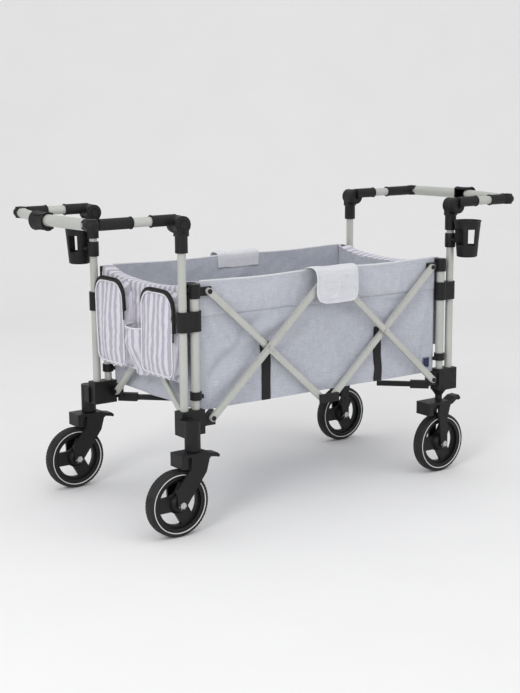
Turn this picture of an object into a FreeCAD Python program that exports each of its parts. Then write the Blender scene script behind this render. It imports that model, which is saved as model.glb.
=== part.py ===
"""Folding pull wagon: scissor frame, four corner posts, two push handles, casters and a cloth basket.

Frame: X along the wagon, front end at -X; Y across, left side at -Y; Z up, floor at Z = 0.
Corners are fl, fr, rl and rr. The rear handle is the front one turned half a turn about Z.
"""
import FreeCAD, Part
import math
import os

from FreeCAD import Placement, Rotation, Vector

doc = FreeCAD.newDocument("wagon")
sheet = doc.addObject("Spreadsheet::Sheet", "Sizes")

SIZES = [
    # posts
    ("post_x", 539), ("post_y", 267), ("post_gap", 42), ("post_r", 12.7), ("post_bore", 11.2),
    ("post_foot", 300), ("post_top", 895), ("stem_r", 12), ("stem_bore", 10.5), ("stem_top", 690),
    ("slide_r", 14), ("slide_bore", 12.3), ("slide_foot", 390),
    # corner fittings
    ("foot_low", 287), ("foot_high", 361), ("foot_wide", 42), ("clamp_low", 599), ("clamp_high", 660),
    ("clamp_wide", 36), ("head_low", 697), ("head_high", 740), ("head_r", 18),
    # scissor bars
    ("low_pin", 330), ("high_pin", 715), ("half_span", 427.5), ("centre_gap", 45), ("bar_wide", 21),
    ("bar_thick", 10), ("bar_wall", 1.5), ("outer_layer", 287), ("inner_layer", 275),
    ("end_outer", 508), ("end_inner", 496), ("pin_r", 4), ("pin_play", 0.15), ("pin_cap_r", 7.5),
    # handles
    ("pivot_high", 918), ("disc_r", 26), ("disc_thick", 26), ("arm_side", 32), ("arm_lift", 12),
    ("socket_r", 17), ("socket_long", 84), ("arm_r", 14), ("arm_grey", 65), ("thick_reach", 276),
    ("thin_reach", 236), ("bow", 45), ("thick_r", 17.5), ("thin_r", 15), ("button_r", 13), ("button_long", 9),
    ("sleeve_low", 835), ("sleeve_r", 19), ("tongue_thick", 12), ("elbow_room", 24.5),
    # cup holders
    ("cup_x", 556), ("cup_y", 331), ("cup_low", 748), ("cup_tall", 122), ("cup_wall", 3), ("cup_foot_r", 34),
    ("cup_rim_r", 45),
    # wheels
    ("wheel_r", 101.6), ("tyre_wide", 40), ("rim_r", 86), ("rim_wide", 32), ("hub_r", 21), ("axle_r", 6),
    ("trail", 58), ("caster_x", 545), ("caster_y", 319.5), ("crown_high", 250), ("leg_gap", 24.5),
    ("leg_thick", 8), ("housing_r", 24),
    # basket
    ("tub_x", 476), ("tub_y", 257), ("tub_low", 352), ("tub_high", 742), ("cloth", 4),
]
for row, (alias, value) in enumerate(SIZES, start=1):
    sheet.set(f"A{row}", alias)
    sheet.set(f"B{row}", str(value))
    sheet.setAlias(f"B{row}", alias)
doc.recompute()


def mm(alias):
    return float(sheet.get(alias))


CORNERS = {"fl": (-1, -1), "fr": (-1, 1), "rl": (1, -1), "rr": (1, 1)}
INNER_X = mm("post_x") - mm("post_gap")
PIVOT_X = mm("half_span") + mm("centre_gap") / 2
PIVOT_Y = mm("half_span") / 2
BAR_RISE = mm("high_pin") - mm("low_pin")
BAR_LONG = math.hypot(mm("half_span"), BAR_RISE)
BAR_TILT = math.degrees(math.atan2(BAR_RISE, mm("half_span")))
EAR = 0.3
UP = Vector(0, 0, 1)
ALONG = Vector(1, 0, 0)
ACROSS = Vector(0, 1, 0)
nodes = []
serial = [0]


# ---------------------------------------------------------------- building blocks
def bind(thing, sizes):
    """Ties properties to the sheet: a number stays a number, a text is an expression of aliases."""
    for prop, size in sizes.items():
        if isinstance(size, str):
            words = size.replace("(", "( ").replace(")", " )").split()
            aliases = {alias for alias, _ in SIZES}
            thing.setExpression(prop, " ".join(f"Sizes.{w}" if w in aliases else w for w in words))
        else:
            setattr(thing, prop, size)
    return thing


def name_for(kind):
    serial[0] += 1
    return f"{kind}{serial[0]}"


def rod(radius, length, start, axis=UP):
    """A cylinder from a start point along an axis."""
    thing = bind(doc.addObject("Part::Cylinder", name_for("rod")), {"Radius": radius, "Height": length})
    thing.Placement = Placement(Vector(*start), Rotation(UP, axis))
    return thing


def cone(low_radius, high_radius, length, start):
    thing = doc.addObject("Part::Cone", name_for("cone"))
    bind(thing, {"Radius1": low_radius, "Radius2": high_radius, "Height": length})
    thing.Placement = Placement(Vector(*start), Rotation())
    return thing


def block(low, high, turn=0, about=None):
    """A box between two corners, optionally turned about Z round a point."""
    low, high = [min(a, b) for a, b in zip(low, high)], [max(a, b) for a, b in zip(low, high)]
    thing = doc.addObject("Part::Box", name_for("block"))
    bind(thing, dict(zip(("Length", "Width", "Height"), [b - a for a, b in zip(low, high)])))
    thing.Placement = Placement(Vector(*low), Rotation())
    if turn:
        thing.Placement = Placement(Vector(), Rotation(UP, turn), Vector(*about)) * thing.Placement
    return thing


def join(pieces):
    thing = doc.addObject("Part::MultiFuse", name_for("join"))
    thing.Shapes = pieces
    thing.Refine = True
    return thing


def cut(base, tools):
    thing = doc.addObject("Part::Cut", name_for("cut"))
    thing.Base = base
    thing.Tool = join(tools) if len(tools) > 1 else tools[0]
    thing.Refine = True
    return thing


def place(thing, position, turn=0):
    """Turns a finished piece about Z and moves it."""
    thing.Placement = Placement(Vector(*position), Rotation(UP, turn)) * thing.Placement
    return thing


def node(label, solids):
    """A named sub-part: one object, or several solids kept together."""
    thing = solids[0]
    if len(solids) > 1:
        thing = doc.addObject("Part::Compound", name_for("set"))
        thing.Links = solids
    thing.Label = label
    nodes.append(thing)
    return thing


def origin(body, role):
    """An origin plane or axis of a body."""
    return next(f for f in body.Origin.OriginFeatures if f.Role == role)


def sketch_on(body, role, outlines):
    """A sketch of closed straight-sided outlines and circles (centre, radius) on an origin plane."""
    sketch = body.newObject("Sketcher::SketchObject", name_for("sketch"))
    sketch.AttachmentSupport = [(origin(body, role), "")]
    sketch.MapMode = "FlatFace"
    for outline in outlines:
        if isinstance(outline[1], (int, float)):
            centre, radius = outline
            sketch.addGeometry(Part.Circle(Vector(*centre, 0), UP, radius), False)
            continue
        for a, b in zip(outline, outline[1:] + outline[:1]):
            sketch.addGeometry(Part.LineSegment(Vector(*a, 0), Vector(*b, 0)), False)
    return sketch


def turned(profile):
    """A body of revolution about Y; the profile gives (radius, y) points."""
    body = doc.addObject("PartDesign::Body", name_for("turned"))
    sketch = sketch_on(body, "XY_Plane", [profile])
    feature = body.newObject("PartDesign::Revolution", name_for("revolution"))
    feature.Profile = sketch
    feature.ReferenceAxis = (origin(body, "Y_Axis"), [""])
    feature.Angle = 360
    return body


def plate(outlines, thickness, y_middle):
    """A padded body whose outline is drawn in X and Z, centred on a plane of constant Y."""
    body = doc.addObject("PartDesign::Body", name_for("plate"))
    sketch = sketch_on(body, "XZ_Plane", outlines)
    pad = body.newObject("PartDesign::Pad", name_for("pad"))
    pad.Profile = sketch
    pad.Midplane = True
    bind(pad, {"Length": thickness})
    body.Placement = Placement(Vector(0, y_middle, 0), Rotation())
    return body


# ---------------------------------------------------------------- posts and corner fittings
def tube(radius, bore, low, high, x, y):
    outer = rod(radius, high - low, (x, y, low))
    return cut(outer, [rod(bore, high - low, (x, y, low))])


def posts(corner):
    """The fixed outer post, and the stem that the sliding tube runs on."""
    sx, sy = CORNERS[corner]
    y = sy * mm("post_y")
    outer = tube("post_r", "post_bore", mm("post_foot"), mm("post_top"), sx * mm("post_x"), y)
    stem = tube("stem_r", "stem_bore", mm("post_foot"), mm("stem_top"), sx * INNER_X, y)
    node(f"posts_{corner}", [outer, stem])


def pin(start, axis, length, cap=True):
    """A pivot pin with its head."""
    axis = Vector(*axis)
    shaft = rod("pin_r", length, start, axis)
    if not cap:
        return [shaft]
    head = Vector(*start) + axis * length
    return [shaft, rod("pin_cap_r", 2.2, tuple(head), axis)]


def end_layer(corner, high):
    """Bars that rise from the left are in the outer layer of an end, the others in the inner one."""
    rises_from_left = (CORNERS[corner][1] < 0) != high
    return mm("end_outer") if rises_from_left else mm("end_inner")


def ears(corner, z, side_layer, end_x, reach_x, reach_y, tall):
    """Two lugs with pins: one for the side scissor and one for the end scissor."""
    sx, sy = CORNERS[corner]
    half = mm("bar_thick") / 2
    side_face = side_layer - half - EAR
    end_face = end_x - half - EAR
    pieces = [
        block((sx * (PIVOT_X - 13), sy * (side_face - 10), z - tall), (sx * reach_x, sy * side_face, z + 13)),
        block((sx * (end_face - 10), sy * (PIVOT_Y - 12), z - tall), (sx * end_face, sy * reach_y, z + 13)),
    ]
    shaft = mm("bar_thick") + 2 * EAR + 0.2
    pieces += pin((sx * PIVOT_X, sy * (side_face - 1), z), (0, sy, 0), shaft + 1)
    pieces += pin((sx * (end_face - 1), sy * PIVOT_Y, z), (sx, 0, 0), shaft + 1)
    return pieces


def foot(corner):
    """The moulded foot: post sockets, scissor lugs, a floor-strut arm and the caster mount."""
    sx, sy = CORNERS[corner]
    px, py, wide = mm("post_x"), mm("post_y"), mm("foot_wide") / 2
    low, high, z = mm("foot_low"), mm("foot_high"), mm("low_pin")
    pieces = [block((sx * (INNER_X - 19), sy * (py - wide), low), (sx * (px + 21), sy * (py + wide), high))]
    end_x = end_layer(corner, False)
    pieces += ears(corner, z, mm("outer_layer"), end_x, INNER_X - 10, py - wide + 4, 22)
    for inward, half, wide_half, under, over in ((0, 32, 11, 4, 30), (60, 62, 8, 9, 25)):
        x, y = sx * (PIVOT_X - 2 - inward), sy * (py - 44 - inward)
        pieces.append(block(
            (x - half, y - wide_half, low + under), (x + half, y + wide_half, low + over),
            45 * sx * sy, (x, y, low),
        ))
    holes = []
    for x, radius in ((px, "post_r"), (INNER_X, "stem_r")):
        holes.append(rod(radius, 100, (sx * x, sy * py, mm("post_foot"))))
    if sx < 0:
        cx, cy = sx * mm("caster_x"), sy * mm("caster_y")
        pieces.append(rod("housing_r", high - 18 - mm("crown_high") - 2, (cx, cy, mm("crown_high") + 2)))
        pieces.append(block((cx - 22, sy * (py + 10), low + 3), (cx + 22, cy, high - 20)))
        holes.append(rod(10.3, 84, (cx, cy, mm("crown_high") + 1)))
    else:
        x = sx * INNER_X
        pieces.append(rod(12, low - mm("crown_high") + 1, (x, sy * py, mm("crown_high"))))
        pieces.append(cone(13, 26, 18, (x, sy * py, low - 17)))
    return cut(join(pieces), holes)


def clamp(corner):
    """The collar block that ties the post to the sliding tube."""
    sx, sy = CORNERS[corner]
    px, py, wide = mm("post_x"), mm("post_y"), mm("clamp_wide") / 2
    low, high = mm("clamp_low"), mm("clamp_high")
    tall = high - low
    body = join([
        rod(wide, tall, (sx * px, sy * py, low)),
        rod(wide + 2, tall, (sx * INNER_X, sy * py, low)),
        block((sx * px, sy * (py - wide), low), (sx * INNER_X, sy * (py + wide), high)),
    ])
    return cut(body, [
        rod("post_r", tall, (sx * px, sy * py, low)),
        rod("slide_r + 0.3", tall, (sx * INNER_X, sy * py, low)),
    ])


def turn_side(corner):
    """+1 where the moving half of the handle knuckle sits on the +Y side of its post."""
    return 1 if CORNERS[corner][0] < 0 else -1


def knuckle(corner):
    """The fixed half of the handle joint, a sleeve on the post under a disc, with a button well."""
    sx, sy = CORNERS[corner]
    x, y, z, thick = sx * mm("post_x"), sy * mm("post_y"), mm("pivot_high"), mm("disc_thick")
    side = turn_side(corner)
    axis = Vector(0, side, 0)
    low, half, r = mm("sleeve_low"), thick / 2, mm("sleeve_r")
    disc_foot = z - mm("disc_r")
    body = join([
        rod("sleeve_r", disc_foot - 2 - low, (x, y, low)),
        block((x - r, y - half, disc_foot - 8), (x + r, y + half, disc_foot + 12)),
        rod("disc_r", thick, (x, y - side * half, z), axis),
        rod(8, half + 22, (x, y, z), axis),
    ])
    well = rod("button_r + 0.3", "button_long + 1", (x, y - side * half, z), axis)
    return cut(body, [rod("post_r", mm("post_top") - low, (x, y, low)), well])


def button(corner):
    """The release button in its well, standing 3.5 mm out."""
    sx, sy = CORNERS[corner]
    side = turn_side(corner)
    x, y = sx * mm("post_x"), sy * mm("post_y") - side * (mm("disc_thick") / 2 + 3.5)
    start = (x, y, mm("pivot_high"))
    node(f"button_{corner}", [rod("button_r", "button_long", start, Vector(0, side, 0))])


def head(corner):
    """The sliding tube with the bracket at its top and the thumb collar at its foot."""
    sx, sy = CORNERS[corner]
    x, y = sx * INNER_X, sy * mm("post_y")
    low, high = mm("head_low"), mm("head_high")
    slide = tube("slide_r", "slide_bore", mm("slide_foot"), low, x, y)
    pieces = [rod("head_r", high - low, (x, y, low))]
    end_x = end_layer(corner, True)
    reach = mm("post_y") - 14
    pieces += ears(corner, mm("high_pin"), mm("inner_layer"), end_x, INNER_X - 12, reach, 13)
    bracket = cut(join(pieces), [rod("stem_r + 0.3", 4, (x, y, low))])
    lug = block((x - sx * 12, y - sy * 5, mm("slide_foot") + 2), (x - sx * 26, y + sy * 5, mm("slide_foot") + 14))
    ring = join([rod("slide_r + 4", 25, (x, y, mm("slide_foot"))), lug])
    collar = cut(ring, [rod("slide_r", 25, (x, y, mm("slide_foot")))])
    node(f"slide_{corner}", [slide, bracket, collar])


# ---------------------------------------------------------------- scissor bars
def bar_solid():
    """A flat tube with round ends, lying along X, with three pivot holes along Y."""
    thick, wide, wall = mm("bar_thick"), mm("bar_wide"), mm("bar_wall")
    half = BAR_LONG / 2
    start = (0, -thick / 2, 0)
    outer = [block((-half, -thick / 2, -wide / 2), (half, thick / 2, wide / 2))]
    outer += [rod("bar_wide / 2", "bar_thick", (x, start[1], 0), ACROSS) for x in (-half, half)]
    hollow = []
    for a, b in ((-half + 13, -13), (13, half - 13)):
        hollow.append(block((a, -thick / 2 + wall, -wide / 2 + wall), (b, thick / 2 - wall, wide / 2 - wall)))
    holes = [rod("pin_r + pin_play", "bar_thick", (x, start[1], 0), ACROSS) for x in (-half, 0, half)]
    return cut(join(outer), hollow + holes)


def bar(label, middle, turn, tilt, rivet_side=0):
    """One scissor bar; the outer one of a crossing carries the rivet, headed on both faces."""
    solids = [bar_solid()]
    if rivet_side:
        thick = mm("bar_thick")
        reach = mm("outer_layer") - mm("inner_layer") + thick + 0.6
        near = -rivet_side * (thick / 2 + 0.3)
        axis = Vector(0, rivet_side, 0)
        rivet = join([
            rod("pin_r", reach, (0, near, 0), axis),
            rod("pin_cap_r", 2, (0, near - rivet_side * 2, 0), axis),
            rod("pin_cap_r", 2, (0, near + rivet_side * reach, 0), axis),
        ])
        solids.append(rivet)
    for solid in solids:
        swing = Rotation(UP, turn) * Rotation(ACROSS, -tilt)
        solid.Placement = Placement(Vector(*middle), swing) * solid.Placement
    node(label, solids)


def side_bars(side, sy):
    z = (mm("low_pin") + mm("high_pin")) / 2
    x = (mm("half_span") + mm("centre_gap")) / 2
    outer, inner = sy * mm("outer_layer"), sy * mm("inner_layer")
    bar(f"{side}_bar_front_rising", (-x, outer, z), 0, BAR_TILT, -sy)
    bar(f"{side}_bar_front_falling", (-x, inner, z), 0, -BAR_TILT)
    bar(f"{side}_bar_rear_falling", (x, outer, z), 0, -BAR_TILT, -sy)
    bar(f"{side}_bar_rear_rising", (x, inner, z), 0, BAR_TILT)


def end_bars(end, sx):
    z = (mm("low_pin") + mm("high_pin")) / 2
    bar(f"{end}_bar_rising", (sx * mm("end_outer"), 0, z), 90, BAR_TILT, sx)
    bar(f"{end}_bar_falling", (sx * mm("end_inner"), 0, z), 90, -BAR_TILT)


def centre_bracket(side, sy, name, z, low_y, high_y, pin_start, pin_dir):
    """The link between the two scissors of a side, with its two pins."""
    half = mm("centre_gap") / 2
    pieces = [block((-half - 14, sy * low_y, z - 14), (half + 14, sy * high_y, z + 14))]
    for x in (-half, half):
        pieces += pin((x, sy * pin_start, z), (0, sy * pin_dir, 0), mm("bar_thick") + 1.8)
    node(f"{side}_{name}_link", [join(pieces)])


def links(side, sy):
    half = mm("bar_thick") / 2
    outer_in = mm("outer_layer") - half - EAR
    inner_out = mm("inner_layer") + half + EAR
    centre_bracket(side, sy, "top", mm("high_pin"), outer_in - 14, outer_in, outer_in - 1, 1)
    centre_bracket(side, sy, "bottom", mm("low_pin"), inner_out, inner_out + 10, inner_out + 1, -1)


# ---------------------------------------------------------------- handles
def flip(thing, rear):
    """The rear handle is the front one turned half a turn about Z."""
    return place(thing, (0, 0, 0), 180) if rear else thing


def elbow_at(near):
    """The vertical axis between an arm of the front handle and its half of the crossbar."""
    reach = mm("thick_reach") if near else mm("thin_reach")
    post_y = -mm("post_y") if near else mm("post_y")
    return -mm("post_x") - reach, post_y + mm("arm_side"), mm("pivot_high") + mm("arm_lift")


def arm(corner, near):
    """Knuckle half and socket, grey tube, and grip that ends in the elbow's tongue, as three solids."""
    rear = CORNERS[corner][0] > 0
    px, z = -mm("post_x"), mm("pivot_high") + mm("arm_lift")
    post_y = -mm("post_y") if near else mm("post_y")
    y = post_y + mm("arm_side")
    back = Vector(-1, 0, 0)
    face = post_y + mm("disc_thick") / 2 + 0.5
    end_x, end_y, _ = elbow_at(near)
    grey_start, grey_end = px - mm("socket_long"), px - mm("socket_long") - mm("arm_grey")
    inset = 10
    disc = rod("disc_r", "disc_thick", (px, face, mm("pivot_high")), ACROSS)
    socket = join([disc, rod("socket_r", "socket_long", (px, y, z), back)])
    bore = rod(8.3, 30, (px, face - 1, mm("pivot_high")), ACROSS)
    grey = rod("arm_r", mm("arm_grey") + 2 * inset, (grey_start + inset, y, z), back)
    grip = rod("socket_r", grey_end - end_x, (grey_end, y, z), back)
    reach = rod("elbow_room", 60, (end_x, end_y, z - 30))
    grip = cut(grip, [reach, rod("arm_r", inset, (grey_end, y, z), back)])
    half = mm("tongue_thick") / 2
    tongue = join([
        rod("socket_r", "tongue_thick", (end_x, end_y, z - half)),
        block((end_x, end_y - 12, z - half), (end_x + 32, end_y + 12, z + half)),
    ])
    seat = rod("arm_r", inset, (grey_start + inset, y, z), back)
    solids = [cut(socket, [bore, seat]), grey, join([grip, tongue])]
    node(f"handle_arm_{corner}", [flip(solid, rear) for solid in solids])


def crossbar(corner, near):
    """Half of the bowed crossbar: elbow grip and tube, and on the thick half the middle housing."""
    rear = CORNERS[corner][0] > 0
    thick_end, thin_end = Vector(*elbow_at(True)), Vector(*elbow_at(False))
    chord = thin_end - thick_end
    long = math.hypot(chord.Length / 2, mm("bow"))
    lean = math.degrees(math.atan2(mm("bow"), chord.Length / 2))
    tilt = math.degrees(math.atan2(chord.x, chord.y))
    half, wide = mm("tongue_thick") / 2 + 0.5, mm("socket_r")
    grip_long, plate_r, wall, back = 30, 20, 4, long - 42
    grip = join([rod("socket_r", 2 * wide, (0, 0, -wide)), rod("socket_r", grip_long, (0, 0, 0), ALONG)])
    slot = [
        rod("socket_r + 1", 2 * half, (0, 0, -half)),
        block((-wide - 1, -30, -half), (wide + 1, 30, half)),
    ]
    solids = [cut(grip, slot)]
    if near:
        solids.append(rod("thick_r", back + wall - grip_long, (grip_long, 0, 0), ALONG))
        low, high = (-27, -15.4), (15.4, 20.5)
        plates = [block((back, -plate_r, low[0]), (back + wall, plate_r, high[1]))]
        for under, over in (low, high):
            plates.append(block((back, -plate_r, under), (long + wall, plate_r, over)))
            plates.append(rod(plate_r, over - under, (long, 0, under)))
        solids.append(join(plates))
    else:
        solids.append(rod("thin_r", long - wall - grip_long, (grip_long, 0, 0), ALONG))
    heading = 90 + lean - tilt if near else -90 - lean - tilt
    for solid in solids:
        place(solid, tuple(thick_end if near else thin_end), heading)
        flip(solid, rear)
    node(f"crossbar_{corner}", solids)


def cup_holder(corner):
    """A tapered open cup on a band round the post."""
    sx, sy = CORNERS[corner]
    px, py = sx * mm("post_x"), sy * mm("post_y")
    x, y, low, tall = sx * mm("cup_x"), sy * mm("cup_y"), mm("cup_low"), mm("cup_tall")
    foot_r, rim_r, wall = mm("cup_foot_r"), mm("cup_rim_r"), mm("cup_wall")
    outer = cone(foot_r, rim_r, tall, (x, y, low))
    window = block((x - 60, y - 14, low + 38), (x + 60, y + 14, low + 88))
    band = rod("post_r + 4", 44, (px, py, low + 30))
    web = block((px - 8, py, low + 32), (px + 8, py + sy * 30, low + 72))
    inside = cone(foot_r - wall, rim_r - wall, tall, (x, y, low + wall))
    shell = cut(outer, [inside, window])
    body = cut(join([shell, cut(join([band, web]), [inside])]), [rod("post_r", 200, (px, py, low))])
    node(f"cup_holder_{corner}", [body])


# ---------------------------------------------------------------- wheels
def wheel(corner, x, y):
    half, rim_half = mm("tyre_wide") / 2, mm("rim_wide") / 2
    outer, seat, hub, axle = mm("wheel_r"), mm("rim_r"), mm("hub_r"), mm("axle_r") + 0.2
    tread = [
        (seat, -rim_half), (outer - 7, -half), (outer - 2, -half + 5), (outer, -half + 12),
        (outer, half - 12), (outer - 2, half - 5), (outer - 7, half), (seat, rim_half),
    ]
    tyre = turned(tread)
    web = 7
    rim = turned([
        (axle, -22), (hub, -22), (hub, -web), (seat - 11, -web), (seat - 11, -rim_half), (seat, -rim_half),
        (seat, rim_half), (seat - 11, rim_half), (seat - 11, web), (hub, web), (hub, 22), (axle, 22),
    ])
    doc.recompute()
    opening = []
    for step in range(7):
        angle = math.radians(-40 + 80 * step / 6)
        opening.append((66 * math.cos(angle), 66 * math.sin(angle)))
    opening += [(34 * math.cos(math.radians(a)), 34 * math.sin(math.radians(a))) for a in (18, -18)]
    sketch = sketch_on(rim, "XZ_Plane", [opening])
    pocket = rim.newObject("PartDesign::Pocket", name_for("pocket"))
    pocket.Profile = sketch
    pocket.Type = "ThroughAll"
    pocket.Midplane = True
    doc.recompute()
    before = rim.Shape.Volume
    pattern = rim.newObject("PartDesign::PolarPattern", name_for("spokes"))
    pattern.Originals = [pocket]
    pattern.Axis = (origin(rim, "Y_Axis"), [""])
    pattern.Angle = 360
    pattern.Occurrences = 3
    rim.Tip = pattern
    doc.recompute()
    if not rim.Shape.Volume < before:
        raise RuntimeError("the rim openings were not cut")
    for label, body in (("tyre", tyre), ("rim", rim)):
        body.Placement = Placement(Vector(x, y, outer), Rotation())
        node(f"{label}_{corner}", [body])


def fork(corner, x, y, wheel_x):
    """Crown, two legs and axle; swivelling forks have a stem, the rear ones are fixed."""
    z, crown, gap, thick = mm("wheel_r"), mm("crown_high"), mm("leg_gap"), mm("leg_thick")
    outside = gap + thick
    front = wheel_x < x
    high_x = (x - 48, x + 40) if front else (x - 62, x + 26)
    outline = [
        (wheel_x - 15, z - 6), (wheel_x - 7, z - 15), (wheel_x + 7, z - 15), (wheel_x + 15, z - 6),
        (high_x[1] - 12, 190), (high_x[1], crown - 18), (high_x[1], crown - 4), (high_x[1] - 10, crown),
        (x - 24, crown), (x - 26, 205), (wheel_x - 18, 150),
    ]
    legs = [plate([outline], "leg_thick", y + side * (gap + thick / 2)) for side in (-1, 1)]
    crown_block = block((high_x[0] + 8, y - gap, crown - 24), (high_x[1] - 4, y + gap, crown))
    fender = block((high_x[0] - 10, y - outside, 207), (high_x[0] + 10, y + outside, crown))
    bridge = block((high_x[0] - 10, y - outside, crown - 9), (x, y + outside, crown))
    clearance = rod("wheel_r + 5", 70, (wheel_x, y - 35, z), ACROSS)
    pieces = [crown_block, cut(fender, [clearance]), bridge]
    ear_x = high_x[1] + 8
    for side in (-1, 1):
        at = y + side * 22 - 3
        pieces.append(block((high_x[1] - 14, at, crown - 22), (ear_x, at + 6, crown - 6)))
    pivot = rod(3.2, 50, (ear_x, y - 25, crown - 14), ACROSS)
    pieces.append(pivot)
    if front:
        pieces.append(rod(10, 80, (x, y, crown - 2)))
        pieces.append(rod(18, 1.6, (x, y, crown)))
    axle_long = 2 * outside + 8
    body = cut(join(legs + pieces), [rod("axle_r", axle_long, (wheel_x, y - axle_long / 2, z), ACROSS)])
    axle = join([
        rod("axle_r", axle_long - 8, (wheel_x, y - outside, z), ACROSS),
        rod(9.5, 5, (wheel_x, y - outside - 5, z), ACROSS),
        rod(9.5, 5, (wheel_x, y + outside, z), ACROSS),
    ])
    node(f"fork_{corner}", [body, axle])
    return ear_x


def lever(corner, x, y, raised):
    """A foot pedal on the crown's pivot: the swivel lock points down, the brake points up."""
    z = mm("crown_high") - 14
    outline = [(x, z + 6), (x + 30, z + 1), (x + 38, z - 7), (x + 34, z - 13), (x + 24, z - 10), (x, z - 6)]
    if raised:
        outline = [(x - 2, z + 6), (x + 24, z + 22), (x + 46, z + 24), (x + 54, z + 12), (x + 48, z + 6),
                   (x + 34, z + 8), (x + 16, z - 4), (x + 2, z - 6)]
    paddle = plate([outline], 36, y)
    hub = rod(8, 36, (x, y - 18, z), ACROSS)
    body = cut(join([paddle, hub]), [rod(3.5, 60, (x, y - 30, z), ACROSS)])
    node(f"{'brake_pedal' if raised else 'swivel_lock'}_{corner}", [body])


# ---------------------------------------------------------------- cloth
def basket():
    """The tub with its floor, a flap over each side link, and two straps on each side."""
    x, y, low, high, cloth = (mm(a) for a in ("tub_x", "tub_y", "tub_low", "tub_high", "cloth"))
    tub = cut(
        block((-x, -y, low), (x, y, high)),
        [block((-x + cloth, -y + cloth, low + 2 * cloth), (x - cloth, y - cloth, high + 1))],
    )
    solids = [tub]
    strap_x = (mm("half_span") + mm("centre_gap")) / 2
    for sy in (-1, 1):
        outside = mm("outer_layer") + mm("bar_thick") / 2 + 3
        flap = join([
            block((-70, sy * (y - cloth), high + 0.3), (100, sy * (outside + 4), high + 4)),
            block((-70, sy * outside, 640), (100, sy * (outside + 4), high + 4)),
        ])
        solids.append(flap)
        for x_strap in (-strap_x, strap_x):
            at = (x_strap - 17, sy * (y + 0.3), low)
            solids.append(block(at, (x_strap + 17, sy * (y + 2.3), 520)))
    node("basket", solids)


def pouches():
    """Two zipped pouches and a bottle pocket on the front end, and one wide pouch on the rear end."""
    face = mm("end_outer") + mm("bar_thick") / 2 + 3.5
    rows = [(-243, -62, 432, 728, 46), (62, 243, 432, 728, 46), (-50, 50, 446, 585, 52)]
    solids = [block((-face, a, low), (-face - deep, b, high)) for a, b, low, high, deep in rows]
    solids.append(block((face, -225, 432), (face + 24, 225, 705)))
    node("end_pouches", solids)


# ---------------------------------------------------------------- the wagon
for corner, (sx, sy) in CORNERS.items():
    posts(corner)
    node(f"foot_{corner}", [foot(corner), clamp(corner), knuckle(corner)])
    head(corner)
    button(corner)
    if sx < 0:
        pivot_x, pivot_y = sx * mm("caster_x"), sy * mm("caster_y")
        wheel_x = pivot_x - mm("trail")
    else:
        pivot_x, pivot_y = sx * INNER_X, sy * mm("post_y")
        wheel_x = pivot_x
    wheel(corner, wheel_x, pivot_y)
    lever(corner, fork(corner, pivot_x, pivot_y, wheel_x), pivot_y, sx > 0)
for side, sy in (("left", -1), ("right", 1)):
    side_bars(side, sy)
    links(side, sy)
for end, sx in (("front", -1), ("rear", 1)):
    end_bars(end, sx)
for corner, near in (("fl", True), ("fr", False), ("rr", True), ("rl", False)):
    arm(corner, near)
    crossbar(corner, near)
for corner in ("fr", "rl"):
    cup_holder(corner)
basket()
pouches()
doc.recompute()

bad = [o.Label for o in doc.Objects if "Invalid" in o.State or "Error" in o.State]
if bad:
    raise RuntimeError(f"objects failed to build: {bad}")
os.makedirs("parts", exist_ok=True)
for thing in nodes:
    if thing.Shape.isNull() or not thing.Shape.isValid():
        raise RuntimeError(f"{thing.Label} has no valid shape")
for thing in nodes:
    thing.Shape.exportStep(f"parts/{thing.Label}.step")
print(len(nodes), "sub-parts written")
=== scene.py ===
"""Looks of the folding pull wagon: cloth, wheels, trim, materials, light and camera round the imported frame.

Metres, Z up, front end at -X, left side at -Y. Every new piece rides on the body that carries it.
"""

import math

import bpy
import numpy as np
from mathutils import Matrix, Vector


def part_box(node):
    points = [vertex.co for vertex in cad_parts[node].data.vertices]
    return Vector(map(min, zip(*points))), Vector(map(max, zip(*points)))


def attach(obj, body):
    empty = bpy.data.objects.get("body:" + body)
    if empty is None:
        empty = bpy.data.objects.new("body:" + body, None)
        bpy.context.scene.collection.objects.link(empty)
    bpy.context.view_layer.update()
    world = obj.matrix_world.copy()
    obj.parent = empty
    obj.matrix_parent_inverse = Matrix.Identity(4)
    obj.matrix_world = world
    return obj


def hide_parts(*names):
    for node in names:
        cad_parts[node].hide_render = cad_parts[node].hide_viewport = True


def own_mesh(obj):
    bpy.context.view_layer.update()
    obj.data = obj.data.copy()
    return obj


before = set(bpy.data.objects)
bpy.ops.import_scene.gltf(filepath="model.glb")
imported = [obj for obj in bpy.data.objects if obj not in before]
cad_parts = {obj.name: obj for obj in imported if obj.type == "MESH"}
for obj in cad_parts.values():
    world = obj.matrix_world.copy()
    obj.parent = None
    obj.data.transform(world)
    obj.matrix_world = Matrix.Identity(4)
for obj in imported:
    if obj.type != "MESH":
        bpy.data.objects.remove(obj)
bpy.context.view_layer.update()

CORNERS = {"fl": (-1, -1), "fr": (-1, 1), "rl": (1, -1), "rr": (1, 1)}
LEFT, RIGHT = -1, 1

# the basket's cloth
TUB_X, TUB_Y, FLOOR_Z, RIM_Z = 0.476, 0.2555, 0.352, 0.742
HEM_Z = 0.636
CLOTH = 0.0024
PANEL_X = 0.5186
ZIP_WIDE = 0.012

wheel_low, wheel_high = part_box("tyre_fl")
WHEEL_R = (wheel_high.z - wheel_low.z) / 2
PIVOT_Z = 0.918
ARM_Z = 0.930
POST_X, POST_Y, POST_GAP, ARM_SIDE = 0.539, 0.267, 0.042, 0.032
CUP_X, CUP_Y = 0.556, 0.331
GREY_FROM, GREY_TO = 0.6232, 0.6878
THICK_ELBOW_X, THIN_ELBOW_X, BOW = 0.815, 0.775, 0.045


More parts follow.
